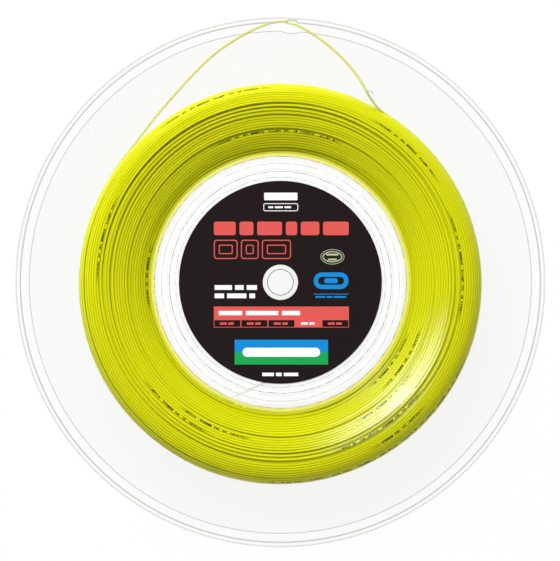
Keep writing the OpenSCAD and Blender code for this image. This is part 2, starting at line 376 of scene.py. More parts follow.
# %% [markdown]
# The wandering is a slow random wave along the string, so each loop lies a little off the
# one before it. Pushing the loops apart is many rounds of the same two steps: loops that are
# too close move apart by half of what is missing, and then the string is smoothed along its
# length, as a stiff string is.

# %% Lay the loops
# The two waves of the wandering: turns from one random value to the next, and relative size
WAVES = ((0.43, 1.0), (1.7, 1.6))


def slow_wave(rng, count, step, size):
    """Random values that change smoothly over some number of samples."""
    knots = rng.normal(0, size, count // step + 4)
    at = np.arange(count) / step
    low = at.astype(int)
    part = at - low
    part = part * part * (3 - 2 * part)
    return knots[low] * (1 - part) + knots[low + 1] * part


def lay_loops(skin, loops, per_loop, wander, least, seed, obstacle=(), rounds=140):
    """Distance along the section for every point of a layer of loops."""
    rng = np.random.default_rng(seed)
    count = loops * per_loop + 1
    along = np.linspace(0, skin.length, count)
    for turns, size in WAVES:
        along += slow_wave(rng, count, int(per_loop * turns), wander * size)
    for _ in range(rounds):
        short = least - (along[per_loop:] - along[:-per_loop])
        push = np.clip(short, 0, None) * 0.5
        along[:-per_loop] -= push
        along[per_loop:] += push
        for station, where, room in obstacle:
            line = along[station::per_loop]
            away = line - where
            near = np.abs(away) < room
            line[near] = where + np.where(away[near] >= 0, room, -room)
        along[1:-1] = (along[:-2] + 2 * along[1:-1] + along[2:]) / 4
        along[:] = np.clip(along, 0, skin.length)
    return along


# %% [markdown]
# The layer isn't quite even. Low ridges run round it, a shallow groove crosses its lower
# right, and its rim is a little out of round.

# %% Swells
# Width and height of each ridge, how far it drifts over the section in a turn, the clock angle
# where it is in the middle, and how far from the front foot it rises fastest there. All but
# the angle in mm
RIDGES = [(6.1, 0.05, -5.0, 20, 11.0), (4.3, 0.025, 7.0, 230, 25.0),
          (2.7, 0.014, -4.0, 300, 8.0)]
# Round the lower right the ridges lose this share of their height
LOWER_RIGHT, RIDGE_LOSS = 136, 0.55
# The groove's depth, half width, distance from the front foot, drift, and the clock angle
# where it is in the middle
GROOVE_DEPTH, GROOVE_HALF, GROOVE_FROM, GROOVE_DRIFT, GROOVE_AT = 0.13, 2.3, 27.4, 4, 134
# The rim stands out by a mean, a lean and an oval, the last two with the clock angle of a
# crest. All of it fades over some distance along the section
RIM_MEAN, RIM_LEAN, LEAN_AT, RIM_OVAL, OVAL_AT, RIM_REACH = -0.24, 0.97, 186, 0.35, 83, 13


def out_of_round(degrees):
    """How far the rim of the winding stands out at a clock angle, in mm. It is lowest near
    the top, where the last loops run out."""
    return (RIM_MEAN + RIM_LEAN * np.cos(np.radians(degrees - LEAN_AT))
            + RIM_OVAL * np.cos(np.radians(2 * (degrees - OVAL_AT))))


def swell(along, degrees, length):
    """Height of the swells at each point, and how fast it grows along the section."""
    def sway(drift, middle):
        return drift * np.sin(np.radians(degrees - middle))

    from_rim = (along - length / 2) / RIM_REACH
    lift = out_of_round(degrees) * np.exp(-from_rim ** 2)
    slope = -2 * from_rim / RIM_REACH * lift
    lower_right = np.clip(np.cos(np.radians(degrees - LOWER_RIGHT)), 0, 1)
    from_groove = (along + sway(GROOVE_DRIFT, GROOVE_AT) - GROOVE_FROM) / GROOVE_HALF
    groove = -GROOVE_DEPTH * lower_right ** 3 * np.exp(-from_groove ** 2)
    lift = lift + groove
    slope = slope - 2 * from_groove / GROOVE_HALF * groove
    for width, height, drift, middle, steep_at in RIDGES:
        high = height * (1 - RIDGE_LOSS * lower_right)
        turn = 2 * np.pi * (along + sway(drift, middle) - steep_at) / width
        lift = lift + high * np.sin(turn)
        slope = slope + high * 2 * np.pi / width * np.cos(turn)
    return lift, slope


rim_out = out_of_round(np.arange(360))
print("rim stands out, mm:", round(rim_out.min(), 2), "to", round(rim_out.max(), 2))

# %% [markdown]
# The tail leaves and enters the winding between two loops, so it pushes its neighbours aside.

# %% Outer layer
PER_LOOP = 96
OUTER_LOOPS = 64
outer_skin = Skin(STRING_D / 2)
# Clock angles between which the tail may touch the layer, with a margin to both sides, how
# near it has to come, and the room to each side of it where it lies right in the layer
TAIL_SPANS, TAIL_MARGIN = ((295, 325), (20, 60)), 1.5
TAIL_REACH, TAIL_ROOM = 1.2, 1.36


def tail_obstacle(skin, per_loop):
    """Where the free end lies in the outer layer: rows of station, place and room to keep."""
    p = np.array(end_points)
    radius = np.hypot(p[:, 0], p[:, 1])
    angle = np.degrees(np.arctan2(p[:, 0], p[:, 1])) % 360
    near = [np.argmin((skin.r - r) ** 2 + (skin.z - z) ** 2)
            for r, z in zip(radius, p[:, 2])]
    gap = np.hypot(skin.r[near] - radius, skin.z[near] - p[:, 2])
    touching = gap < TAIL_REACH
    rows = []
    for low, high in TAIL_SPANS:
        pick = touching & (angle > low) & (angle < high)
        order = np.argsort(angle[pick])
        a, s, g = angle[pick][order], skin.at[near][pick][order], gap[pick][order]
        for j in range(per_loop):
            here = (START_ANGLE + 360 * j / per_loop) % 360
            if a[0] - TAIL_MARGIN <= here <= a[-1] + TAIL_MARGIN:
                deep = np.clip(1 - (np.interp(here, a, g) / STRING_D) ** 2, 0, 1)
                rows.append((j, np.interp(here, a, s), TAIL_ROOM * math.sqrt(deep)))
    return rows


tail_room = tail_obstacle(outer_skin, PER_LOOP)
print("tail meets the winding at", len(tail_room), "stations")
outer_along = lay_loops(outer_skin, OUTER_LOOPS, PER_LOOP, 0.75, STRING_D + 0.02, 38,
                        tail_room)
outer_angle = START_ANGLE + 360 * np.arange(len(outer_along)) / PER_LOOP
outer_points, outer_out = outer_skin.place(
    outer_along, outer_angle, *swell(outer_along, outer_angle, outer_skin.length))
gaps = outer_along[PER_LOOP:] - outer_along[:-PER_LOOP]
print("outer layer: pitch from", round(gaps.min(), 2), "to", round(gaps.max(), 2),
      "mm, string", round(run_length(outer_points) / 1000, 1), "m")

# %% [markdown]
# The curve becomes a mesh, and each of its points learns where it lies on the string. A tube
# is rings of points in order, so the ring's own centre tells.

# %% Tubes of string
# Printed stretches that face the front: radius in mm, the clock angles they run between, and
# how far the string is rolled there, in degrees toward the front
PRINTS = [(104.3, 322, 357, 0), (81.6, 337, 383, 0), (99.8, 31, 57, 0), (96.2, 68, 99, 0),
          (79.6, 109, 134, 0), (74.0, 114, 140, 0), (84.6, 126, 150, 0), (94.8, 127, 161, 0),
          (100.6, 131, 151, 0), (106.75, 113, 186, 25), (107.92, 118, 186, 35),
          (70.7, 185, 213, 0), (84.6, 192, 216, 0), (89.9, 207, 235, 0), (96.9, 270, 296, 0),
          (72.7, 258, 284, 0)]


def mark_prints(points, angle):
    """For each point of the string: distance along its printed stretch, if it has one, and
    how far the string is rolled there."""
    run = np.concatenate([[0], np.cumsum(np.linalg.norm(np.diff(points, axis=0), axis=1))])
    radius = np.hypot(points[:, 0], points[:, 1])
    start, printed, rolled = np.zeros((3, len(points)))
    turned = angle - angle[0]
    for at, low, high, roll in PRINTS:
        middle = (low + high) / 2
        off = (angle - middle + 180) % 360 - 180
        front = (points[:, 2] > MID_Z) & (np.abs(off) < 2)
        centre = np.flatnonzero(front)[np.argmin(np.abs(radius[front] - at))]
        half = (high - low) / 2
        pick = np.abs(turned - turned[centre]) <= half
        start[pick] = run[np.flatnonzero(pick)[0]]
        printed[pick] = 1
        rolled[pick] = math.radians(roll)
    return run - start, printed, rolled


# Share of the winding's own normal in the strands' shading
MERGE = 0.94


def string_mesh(name, points, out, angle, material, bevel_steps, prints=False):
    """One wound length of string as a mesh tube."""
    curve = string_curve(name + "_curve", points, bevel_steps, closed=False)
    mesh = bpy.data.meshes.new_from_object(curve)
    mesh.name = name
    bpy.data.curves.remove(curve.data)
    sides = len(mesh.vertices) // len(points)
    co = np.empty(len(mesh.vertices) * 3)
    mesh.vertices.foreach_get("co", co)
    rings = co.reshape(len(points), sides, 3) / MM
    offset = rings - points[:, None, :]
    reach = np.linalg.norm(offset, axis=2)
    way = np.gradient(points, axis=0)
    way /= np.linalg.norm(way, axis=1)[:, None]
    across = np.cross(way, out)
    along, printed, rolled = (mark_prints(points, angle) if prints
                              else np.zeros((3, len(points))))
    aside = (offset * across[:, None, :]).sum(2)
    outward = (offset * out[:, None, :]).sum(2)
    cosine, sine = np.cos(rolled)[:, None], np.sin(rolled)[:, None]
    lay = np.empty((len(points), sides, 3))
    lay[..., 0] = along[:, None]
    lay[..., 1] = aside * cosine - outward * sine
    lay[..., 2] = aside * sine + outward * cosine
    mesh.attributes.new("lay", "FLOAT_VECTOR", "POINT").data.foreach_set(
        "vector", lay.astype(np.float32).ravel())
    mesh.attributes.new("printed", "FLOAT", "POINT").data.foreach_set(
        "value", np.repeat(printed, sides).astype(np.float32))
    bm = bmesh.new()
    bm.from_mesh(mesh)
    bmesh.ops.holes_fill(bm, edges=bm.edges[:], sides=0)
    bm.to_mesh(mesh)
    bm.free()
    made = finish_piece(name, mesh, [material], sharp=60)
    # A shading normal between the strand's and the winding's, as where light spreads from
    # strand to strand
    normals = (1 - MERGE) * offset / reach[..., None] + MERGE * out[:, None, :]
    normals /= np.linalg.norm(normals, axis=2)[..., None]
    mesh.normals_split_custom_set_from_vertices(normals.reshape(-1, 3).tolist())
    return made


winding = string_mesh("winding_loops", outer_points, outer_out, outer_angle, string_printed,
                      2, prints=True)
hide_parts("winding_outer")

# %% [markdown]
# The layer below is wound back the other way, from the rear foot to the front, so it crosses
# under the outer one at a shallow angle, and it fills the gaps with more string.

# %% The layer below
UNDER_LOOPS = 64
UNDER_PER_LOOP = 72
UNDER_DEPTH = 0.98
UNDER_START_ANGLE = -40
under_skin = Skin(STRING_D / 2 + UNDER_DEPTH)
under_along = lay_loops(under_skin, UNDER_LOOPS, UNDER_PER_LOOP, 0.5, STRING_D, 23)
under_angle = UNDER_START_ANGLE - 360 * np.arange(len(under_along)) / UNDER_PER_LOOP
under_points, under_out = under_skin.place(
    under_along, under_angle, *swell(under_along, under_angle, under_skin.length))
under = string_mesh("winding_under", under_points, under_out, under_angle, string_plain, 1)

# %% [markdown]
# The core stands for all the string below. It is the section itself, spun round the axis, and
# its rim is moved in and out with the loops on it.

# %% Core
def spun(outline, steps):
    """A closed outline of (radius, height) points in mm, spun round the axis."""
    bm = bmesh.new()
    dots = [bm.verts.new((r * MM, 0, z * MM)) for r, z in outline]
    for a, b in zip(dots, dots[1:] + dots[:1]):
        bm.edges.new((a, b))
    bmesh.ops.spin(bm, geom=bm.verts[:] + bm.edges[:], cent=(0, 0, 0), axis=(0, 0, 1),
                   angle=2 * math.pi, steps=steps, use_merge=True)
    bmesh.ops.recalc_face_normals(bm, faces=bm.faces[:])
    return bm


CORE_SINK = STRING_D / 2 + 1.2 + 0.6
core_turn = np.linspace(foot_turn, -foot_turn, 61)
core_r, core_z = section(core_turn, CORE_SINK)
core_outline = [(FOOT_R, core_z[0]), *zip(core_r, core_z), (FOOT_R, core_z[-1])]
bm = spun(core_outline, 120)
for v in bm.verts:
    radius = math.hypot(v.co.x, v.co.y)
    degrees = math.degrees(math.atan2(v.co.x, v.co.y))
    rim_share = max(0.0, (radius / MM - MID_R) / SHOULDER)
    grown = 1 + float(out_of_round(degrees)) * rim_share * MM / radius
    v.co.x, v.co.y = v.co.x * grown, v.co.y * grown
core = finish_piece("winding_inside", bm, [string_plain])
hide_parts("winding_core")

# %% [markdown]
# ## The string's start
# Before the first loop, the string comes out of the hub through slots in the rings and the
# drum. Its points follow the measured model: distance out from the drum, clock angle, and
# depth below the front plate.

# %% Start
FRONT_IN = 27.6
START_ROUTE = [(-17.6, 182.3, 5.0), (-14.3, 188.0, 5.2), (-10.6, 193.1, 5.5),
               (-6.7, 197.4, 5.9), (-3.0, 201.2, 6.4), (-0.3, 204.4, 7.0),
               (0.9, 207.9, 7.4), (1.1, 211.5, 7.6)]
start_dots = [(*clock(DRUM_R + out, angle), FRONT_IN - deep)
              for out, angle, deep in START_ROUTE]
start_points = smooth_route(start_dots + [tuple(outer_points[0])], 4)
string_start = string_curve("string_start_tube", start_points)
string_start.data.materials.append(string_plain)
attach(string_start, "root")
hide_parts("string_start")
print("start, mm:", round(run_length(start_points), 1))

# %% [markdown]
# ## Clear polystyrene
# The flanges and the drum are injection moulded in clear polystyrene, which bends light more
# than most plastics. Rays from lamps go straight through it here, so that the string under
# the plate is lit, which glass by itself would leave to chance. A clear part shows mostly by
# its edges, where the bent light draws dark lines, so the edges get a darker grey glass of
# their own: painted shade for those lines. Face on, the plates reflect little. At a slant they
# mirror the white horizon, so they stay clear from the side too.

# %% Clear materials
def clear_material(name, colour, colour_2=None):
    """Clear polystyrene that lets the lamps' rays through. Two colours break up the painted shade
    of an edge.
    """
    made, tree, shader, output = new_material(name, {
        "Base Color": colour, "Roughness": 0.02, "IOR": 1.59, "Transmission Weight": 1.0})
    # From 45 to 70 degrees off square it turns from almost no gloss into a full mirror
    slant = add_node(tree, "ShaderNodeLayerWeight", {"Blend": 0.5})
    tree.links.new(remap(tree, slant.outputs["Facing"], 0.29, 0.66, 0.15, 1.0),
                   shader.inputs["Specular Tint"])
    # Ripple about 14 mm long, as the melt leaves it
    bump = add_node(tree, "ShaderNodeBump", {
        "Height": noise(tree, 70.0, 1.0), "Strength": 0.10, "Distance": 0.0003})
    tree.links.new(bump.outputs[0], shader.inputs["Normal"])
    if colour_2:
        # Breaks about 5 mm long
        breaks = remap(tree, noise(tree, 200.0, 2.0), 0.4, 0.6)
        tree.links.new(mix(tree, breaks, colour, colour_2), shader.inputs["Base Color"])
    passing = add_node(tree, "ShaderNodeBsdfTransparent", {"Color": linear("#FCFDFC")})
    rays = add_node(tree, "ShaderNodeLightPath")
    surface = shader.outputs[0]
    for kind in ("Is Shadow Ray", "Is Diffuse Ray"):
        surface = mix_shaders(tree, rays.outputs[kind], surface, passing.outputs[0])
    tree.links.new(surface, output.inputs["Surface"])
    return made


clear = clear_material("clear_polystyrene", linear("#FEFEFD"))
# The edge glasses are grey as painted shade, for the dark lines bent light draws at the rims, the
# bead and the hub edges
clear_rim_shade = clear_material("clear_polystyrene_rim_painted_shade", linear("#B2B4B2"))
clear_hub_shade = clear_material("clear_polystyrene_hub_painted_shade", linear("#8C8E8B"), linear("#F0F2EE"))
clear_bead_shade = clear_material("clear_polystyrene_bead_painted_shade", linear("#E6E8E3"))

# %% [markdown]
# Each flange is a turned shape: an outline of radius and height, spun once round the axis.
# Slots and holes are cut afterwards with boxes and a cylinder, as a mould's cores leave them.
# The front flange carries the bead at its rim, the bore tube, and the ring that slides into
# the rear flange's ring.

# %% Flange outlines
RIM_R = 140.0
REAR_IN = 1.6
FRONT_OUT = 29.2
BEAD_TOP = 30.6
BEAD_IN_R = 137.2
AIR = 0.05
BORE_R, TUBE_R = 6.7, 8.2
COLLAR_IN_R, COLLAR_OUT_R, COLLAR_H = TUBE_R + AIR, 9.75, 6
SPIGOT_IN_R, SPIGOT_OUT_R = 57.15, 58.65
SOCKET_IN_R, SOCKET_OUT_R = 58.75, 60.25
LEDGE_IN_R, LEDGE_OUT_R = 65.35, 66.55
LEDGE_H = 1.2
SNAP_Z, SNAP_R = 8.6, 0.35
END_GAP = 0.3
CHAMFER = 0.3
EDGE_ROUND = 0.5
BEAD_ROUND = 1.12


def arc(r, z, radius, start, end, steps=6):
    """Points of a rounded edge, as radius and height, between two angles in degrees."""
    turn = np.radians(np.linspace(start, end, steps + 1))
    return [(r + radius * math.cos(a), z + radius * math.sin(a)) for a in turn]


front_outline = (
    [(BORE_R, 0), (TUBE_R, 0), (TUBE_R, FRONT_IN), (SPIGOT_IN_R, FRONT_IN),
     (SPIGOT_IN_R, REAR_IN + END_GAP), (SPIGOT_OUT_R - CHAMFER, REAR_IN + END_GAP),
     (SPIGOT_OUT_R, REAR_IN + END_GAP + CHAMFER), (SPIGOT_OUT_R, SNAP_Z - SNAP_R),
     (SPIGOT_OUT_R + SNAP_R, SNAP_Z), (SPIGOT_OUT_R, SNAP_Z + SNAP_R),
     (SPIGOT_OUT_R, FRONT_IN),
     (LEDGE_IN_R, FRONT_IN), (LEDGE_IN_R, FRONT_IN - LEDGE_H),
     (LEDGE_OUT_R, FRONT_IN - LEDGE_H), (LEDGE_OUT_R, FRONT_IN)]
    + arc(RIM_R - EDGE_ROUND, FRONT_IN + EDGE_ROUND, EDGE_ROUND, -90, 0)
    + arc(RIM_R - BEAD_ROUND, BEAD_TOP - BEAD_ROUND, BEAD_ROUND, 0, 90)
    + arc(BEAD_IN_R + EDGE_ROUND, BEAD_TOP - EDGE_ROUND, EDGE_ROUND, 90, 180)
    + [(BEAD_IN_R, FRONT_OUT), (BORE_R + CHAMFER, FRONT_OUT), (BORE_R, FRONT_OUT - CHAMFER)])
rear_outline = (
    [(COLLAR_IN_R, 0)]
    + arc(RIM_R - EDGE_ROUND, EDGE_ROUND, EDGE_ROUND, -90, 0)
    + arc(RIM_R - EDGE_ROUND, REAR_IN - EDGE_ROUND, EDGE_ROUND, 0, 90)
    + [(LEDGE_OUT_R, REAR_IN), (LEDGE_OUT_R, REAR_IN + LEDGE_H),
       (LEDGE_IN_R, REAR_IN + LEDGE_H), (LEDGE_IN_R, REAR_IN),
       (SOCKET_OUT_R, REAR_IN), (SOCKET_OUT_R, FRONT_IN - END_GAP),
       (SOCKET_IN_R + CHAMFER, FRONT_IN - END_GAP),
       (SOCKET_IN_R, FRONT_IN - END_GAP - CHAMFER), (SOCKET_IN_R, SNAP_Z + SNAP_R + AIR),
       (SOCKET_IN_R + SNAP_R, SNAP_Z), (SOCKET_IN_R, SNAP_Z - SNAP_R - AIR),
       (SOCKET_IN_R, REAR_IN), (COLLAR_OUT_R, REAR_IN), (COLLAR_OUT_R, REAR_IN + COLLAR_H),
       (COLLAR_IN_R, REAR_IN + COLLAR_H)])
DRUM_IN_R = 66.6
drum_outline = [(DRUM_IN_R + CHAMFER, REAR_IN + AIR), (DRUM_R, REAR_IN + AIR),
                (DRUM_R, FRONT_IN - AIR), (DRUM_IN_R + CHAMFER, FRONT_IN - AIR),
                (DRUM_IN_R, FRONT_IN - AIR - CHAMFER), (DRUM_IN_R, REAR_IN + AIR + CHAMFER)]
print("outline points:", len(front_outline), len(rear_outline), len(drum_outline))

# %% [markdown]
# A Boolean modifier takes each cutter away, and the result is kept as a plain mesh. Then the
# edge faces are found by their place in the section.

# %% Cut and finish the clear parts
PLATE_STEPS = 240
# Material numbers of a clear part's faces; the edge ones carry the painted shade
RIM_EDGE, HUB_EDGE, BEAD_TURN = 1, 2, 3
# The hub rings' slot for the string's start: clock angle, inner and outer radius, width. Only
# the inner ring is slit all the way, and in the others the slot ends at a height
HUB_SLOT = (195, 54.2, 63.2, 7.0)
SLOT_LOW = FRONT_IN - 9.5
# Cutters reach this much past a face
PAST = 1


def cutter_box(angle, r_in, r_out, width, z_low, z_high):
    """A box across a ring wall at a clock angle, in mm."""
    bm = bmesh.new()
    bmesh.ops.create_cube(bm, size=1.0)
    fit(bm, bm.verts[:], (width, r_out - r_in, z_high - z_low),
        (0, (r_in + r_out) / 2, (z_low + z_high) / 2))
    return turned_by(bm, angle)


def cutter_post(angle, at, radius, z_low, z_high, stretch=0.0):
    """A post through a plate at a clock angle. Stretch pulls it out sideways to a slot."""
    bm = bmesh.new()
    bmesh.ops.create_cone(bm, cap_ends=True, cap_tris=False, segments=48, radius1=radius * MM,
                          radius2=radius * MM, depth=(z_high - z_low) * MM)
    for v in bm.verts:
        if abs(v.co.x) > 1e-7:
            v.co.x += math.copysign(stretch / 2 * MM, v.co.x)
    bmesh.ops.translate(bm, verts=bm.verts[:], vec=(0, at * MM, (z_low + z_high) / 2 * MM))
    return turned_by(bm, angle)


def turned_by(bm, angle):
    """The cutter as an object, turned to its clock angle."""
    bmesh.ops.rotate(bm, verts=bm.verts[:], matrix=Matrix.Rotation(-math.radians(angle), 3, "Z"))
    return add_object("cutter", mesh_of("cutter", bm))


def clear_part(name, node, outline, cutters, edges):
    """Spins and cuts a clear part. Edges are (lowest radius, highest radius, lowest height,
    highest height, material number) windows of the section."""
    whole = add_object(name + "_whole", mesh_of(name, spun(outline, PLATE_STEPS)))
    for tool in cutters:
        cut = whole.modifiers.new("cut", "BOOLEAN")
        cut.operation, cut.solver, cut.object = "DIFFERENCE", "EXACT", tool
    ready = whole.evaluated_get(bpy.context.evaluated_depsgraph_get())
    mesh = bpy.data.meshes.new_from_object(ready)
    mesh.name = name
    for gone in [whole] + cutters:
        bpy.data.meshes.remove(gone.data)
    made = finish_piece(name, mesh, [clear, clear_rim_shade, clear_hub_shade, clear_bead_shade], sharp=12)
    for face in mesh.polygons:
        x, y, z = (c / MM for c in face.center)
        r = math.hypot(x, y)
        for r_low, r_high, z_low, z_high, number in edges:
            if r_low < r < r_high and z_low < z < z_high:
                face.material_index = number
    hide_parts(node)
    return made


front_clear = clear_part(
    "front_flange_clear", "front_flange", front_outline,
    [cutter_box(*HUB_SLOT, -PAST, FRONT_IN),
     cutter_post(2.5, BEAD_IN_R, 1.5, FRONT_IN - PAST, BEAD_TOP + PAST, stretch=3.0),
     cutter_post(25.4, 109.4, 2.6, FRONT_IN - PAST, FRONT_OUT + PAST)],
    [(RIM_R - BEAD_ROUND, 141, 29.4, 31, BEAD_TURN), (RIM_R - 0.5, 141, 27, 31, RIM_EDGE),
     (BEAD_IN_R - 0.1, BEAD_IN_R + 0.42, FRONT_OUT, 31, RIM_EDGE),
     (58.3, 58.64, 0, 2.3, HUB_EDGE), (BORE_R, BORE_R + CHAMFER, 28.9, 29.19, HUB_EDGE)])
rear_clear = clear_part(
    "rear_flange_clear", "rear_flange", rear_outline,
    [cutter_box(*HUB_SLOT, SLOT_LOW, FRONT_IN + PAST)],
    [(139.6, 141, -1, 3, RIM_EDGE), (58.8, 59.04, 26.9, 28, HUB_EDGE)])
drum_clear = clear_part(
    "drum_sleeve_clear", "drum_sleeve", drum_outline,
    [cutter_box(204.5, 63.6, 71.0, 8.0, SLOT_LOW, FRONT_IN + PAST)],
    [(66.6, 66.89, 0, 30, HUB_EDGE)])

# %% [markdown]
# Round the label the front plate is moulded matte, which hides the rings behind it. So fine a
# texture can't be modelled, so a thin skin lies on the plate: white where it scatters light,
# and clear towards its outer edge. Where each ring stands behind the plate, a thin grey line of
# painted shade, broken here and there, stands for the dark line its edge draws through the
# plastic. Past the drum the skin is painted yellow, a painted reflection of the string in the
# clear wall.

# %% Matte hub face
MATTE_IN_R, MATTE_OUT_R = 53.8, 70.4
# Radius and half width of each line of painted shade at a ring, in mm
RING_SHADE_LINES = ((55.5, 0.12), (58.7, 0.13), (62.9, 0.10), (66.6, 0.13))


def washer(r_in, r_out, low, high):
    """The outline of a flat ring."""
    return [(r_in, low), (r_out, low), (r_out, high), (r_in, high)]


def matte_material():
    """Polystyrene moulded matte: a white veil with thin grey lines of painted shade at the rings.
    Past the drum it is painted with the string's yellow, a painted reflection of the string in
    the clear wall, and fades out."""
    made, tree, shader, _ = new_material("matte_moulded_polystyrene", {
        "Roughness": 0.6, "IOR": 1.59, "Specular IOR Level": 0.1})
    place = add_node(tree, "ShaderNodeTexCoord")
    flat = add_node(tree, "ShaderNodeVectorMath", {
        0: place.outputs["Object"], 1: (1000.0, 1000.0, 0.0)}, operation="MULTIPLY")
    radius = add_node(tree, "ShaderNodeVectorMath", {0: flat.outputs[0]},
                      operation="LENGTH").outputs["Value"]
    # The lines wander in steps of about 7 mm, most of all near the label
    waver = calc(tree, "SUBTRACT", noise(tree, 140.0, 3.0), 0.5)
    sway = calc(tree, "MULTIPLY", waver, remap(tree, radius, 54.0, 67.0, 1.3, 0.1))
    wavy = calc(tree, "ADD", radius, sway)
    # Thin grey lines of painted shade at the rings' radii
    ring_shade = 0.0
    for ring, half in RING_SHADE_LINES:
        ring_shade = calc(tree, "MAXIMUM", ring_shade, calc(tree, "COMPARE", wavy, ring, half))
    # Breaks of about 3 mm
    breaks = remap(tree, noise(tree, 330.0, 2.0), 0.40, 0.56, 0.25)
    drawn_shade = calc(tree, "MULTIPLY", ring_shade, breaks)
    past_drum = remap(tree, radius, 66.6, 67.1)
    # Past the drum the veil turns yellow: a painted reflection of the string in the clear wall
    veil_and_reflection = mix(tree, past_drum, linear("#FDFDFB"), linear("#E9E75C"))
    tree.links.new(mix(tree, drawn_shade, veil_and_reflection, linear("#8A8C88")), shader.inputs["Base Color"])
    fading = remap(tree, radius, 67.4, 69.7, 0.8, 0.0)
    tree.links.new(mix(tree, past_drum, 0.42, fading, data_type="FLOAT"),
                   shader.inputs["Alpha"])
    return made


matte_bm = spun(washer(MATTE_IN_R, MATTE_OUT_R, FRONT_OUT + 0.01, FRONT_OUT + 0.03), PLATE_STEPS)
matte_face = finish_piece("hub_matte_face", matte_bm, [matte_material()])
matte_face.visible_shadow = False

# %% [markdown]
# ## The label
# A disc of coated paper is printed almost black and glued to the front. The paper is white, so
# its back and its cut edge are white. The print stays plain here: bars, boxes and dashes in
# the colours of such a label, as thin solid shapes that lie on the paper.

# %% Label paper
LABEL_R, LABEL_HOLE_R = 53.7, 9.3
LABEL_TOP = 29.45


def paper_material(name, colour_1, colour_2, roughness):
    """Coated paper with fine grain: soft gloss and hardly any reflection."""
    made, tree, shader, _ = new_material(name, {
        "Roughness": roughness, "IOR": 1.5, "Specular IOR Level": 0.18})
    # Grain of 0.4 mm
    ground = mix(tree, noise(tree, 2500.0, 2.0), linear(colour_1), linear(colour_2))
    tree.links.new(ground, shader.inputs["Base Color"])
    return made


black_print = paper_material("black_printed_paper", "#1E1616", "#261D1D", 0.5)
white_paper = paper_material("white_label_paper", "#F0F0EC", "#FAFAF8", 0.6)
label_bm = spun(washer(LABEL_HOLE_R, LABEL_R, FRONT_OUT + 0.02, LABEL_TOP), 180)
label = finish_piece("label_disc", label_bm, [white_paper, black_print])
for face in label.data.polygons:
    face.material_index = int(face.normal.z > 0.9)
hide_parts("front_label")

# %% [markdown]
# One function draws every printed shape: a small grid of one face is stretched to a bar, its
# corners are rounded with a vertex bevel, an inset turns it into a box outline if asked, and
# an extrusion gives the ink its thickness.

# %% Printed shapes
WHITE, CORAL, BLUE, GREEN = range(4)
INK = 0.015


def raise_faces(bm, faces, height):
    """Gives flat faces a thickness, in mm."""
    grown = bmesh.ops.extrude_face_region(bm, geom=faces)["geom"]
    top = [g for g in grown if isinstance(g, bmesh.types.BMVert)]
    bmesh.ops.translate(bm, verts=top, vec=(0, 0, height * MM))


def add_bar(bm, left, bottom, width, height, ink, corner=0.0, frame_line=0.0, base=LABEL_TOP):
    """A printed bar, or a box outline of some line width. Sizes in mm."""
    known = set(bm.faces)
    dots = bmesh.ops.create_grid(bm, x_segments=1, y_segments=1, size=0.5)["verts"]
    fit(bm, dots, (width, height, 0), (left + width / 2, bottom + height / 2, base + 0.004))
    if corner:
        bmesh.ops.bevel(bm, geom=dots, offset=corner * MM, offset_type="OFFSET", segments=4,
                        profile=0.5, affect="VERTICES", material=-1)
    faces = [f for f in bm.faces if f not in known]
    if frame_line:
        ring = bmesh.ops.inset_region(bm, faces=faces, thickness=frame_line * MM,
                                      use_boundary=True, use_even_offset=True)["faces"]
        bmesh.ops.delete(bm, geom=faces, context="FACES_ONLY")
        faces = ring
    for f in faces:
        f.material_index = ink
    raise_faces(bm, faces, INK)


def add_dashes(bm, left, bottom, height, ink, widths, space, base=LABEL_TOP):
    """A row of dashes that stands for a line of small print."""
    for width in widths:
        add_bar(bm, left, bottom, width, height, ink, base=base)
        left += width + space


inks = [paper_material("white_ink", "#F4F4F2", "#FBFBFA", 0.5),
        paper_material("coral_ink", "#DD5450", "#E45E58", 0.5),
        paper_material("blue_ink", "#0A86D2", "#1290DC", 0.5),
        paper_material("green_ink", "#12A24C", "#1AAC56", 0.5)]
bm = bmesh.new()
# Short title: a white bar over a box with three dashes
add_bar(bm, -8.6, 43.4, 17.6, 4.0, WHITE, corner=0.5)
add_bar(bm, -9.0, 37.6, 18.4, 4.2, WHITE, corner=1.0, frame_line=0.4)
add_dashes(bm, -6.4, 39.2, 1.0, WHITE, [2.6, 4.2, 3.4], 0.9)
# Wide row of coral blocks, and three outlined boxes under it
left = -35.2
for width in (11.6, 7.4, 13.2, 6.0, 9.8, 13.6):
    add_bar(bm, left, 24.9, width, 7.2, CORAL, corner=1.2)
    left += width + 1.95
left = -35.2
for width in (12.6, 9.4, 15.4):
    add_bar(bm, left, 12.3, width, 10.2, CORAL, corner=1.6, frame_line=0.55)
    add_bar(bm, left + 2.6, 14.9, width - 5.2, 5.0, CORAL, corner=0.8, frame_line=0.55)
    left += width + 1.7
# Two lines of small print, and a blue ring over a thin line
add_dashes(bm, -34.8, -4.0, 2.5, WHITE, [9.2, 4.6, 5.4], 1.6)
add_dashes(bm, -34.8, -8.4, 2.5, WHITE, [5.0, 10.2, 3.0], 1.6)
add_bar(bm, 17.6, -3.6, 18.4, 8.8, BLUE, corner=4.2, frame_line=2.3)
add_bar(bm, 23.2, -0.5, 7.2, 2.6, BLUE, corner=1.2)
add_bar(bm, 17.6, -6.4, 18.4, 0.35, BLUE)
add_dashes(bm, 18.6, -8.2, 0.9, BLUE, [5.2, 3.0, 6.6], 0.7)
# Coral band over a row of five cells, of which one is filled
add_bar(bm, -35.2, -19.7, 71.4, 6.9, CORAL)
add_dashes(bm, -32.6, -17.4, 2.3, WHITE, [12.4, 17.2, 9.6], 1.9, base=LABEL_TOP + INK)
for cell in range(5):
    step = 14.28 * cell
    ink, line = (WHITE, 0.0) if cell == 3 else (CORAL, 0.3)
    add_bar(bm, -35.2 + step, -23.9, 14.3, 4.2, CORAL, frame_line=line)
    add_dashes(bm, -32.0 + step, -22.4, 1.2, ink, [3.6, 2.9], 0.8, base=LABEL_TOP + INK)
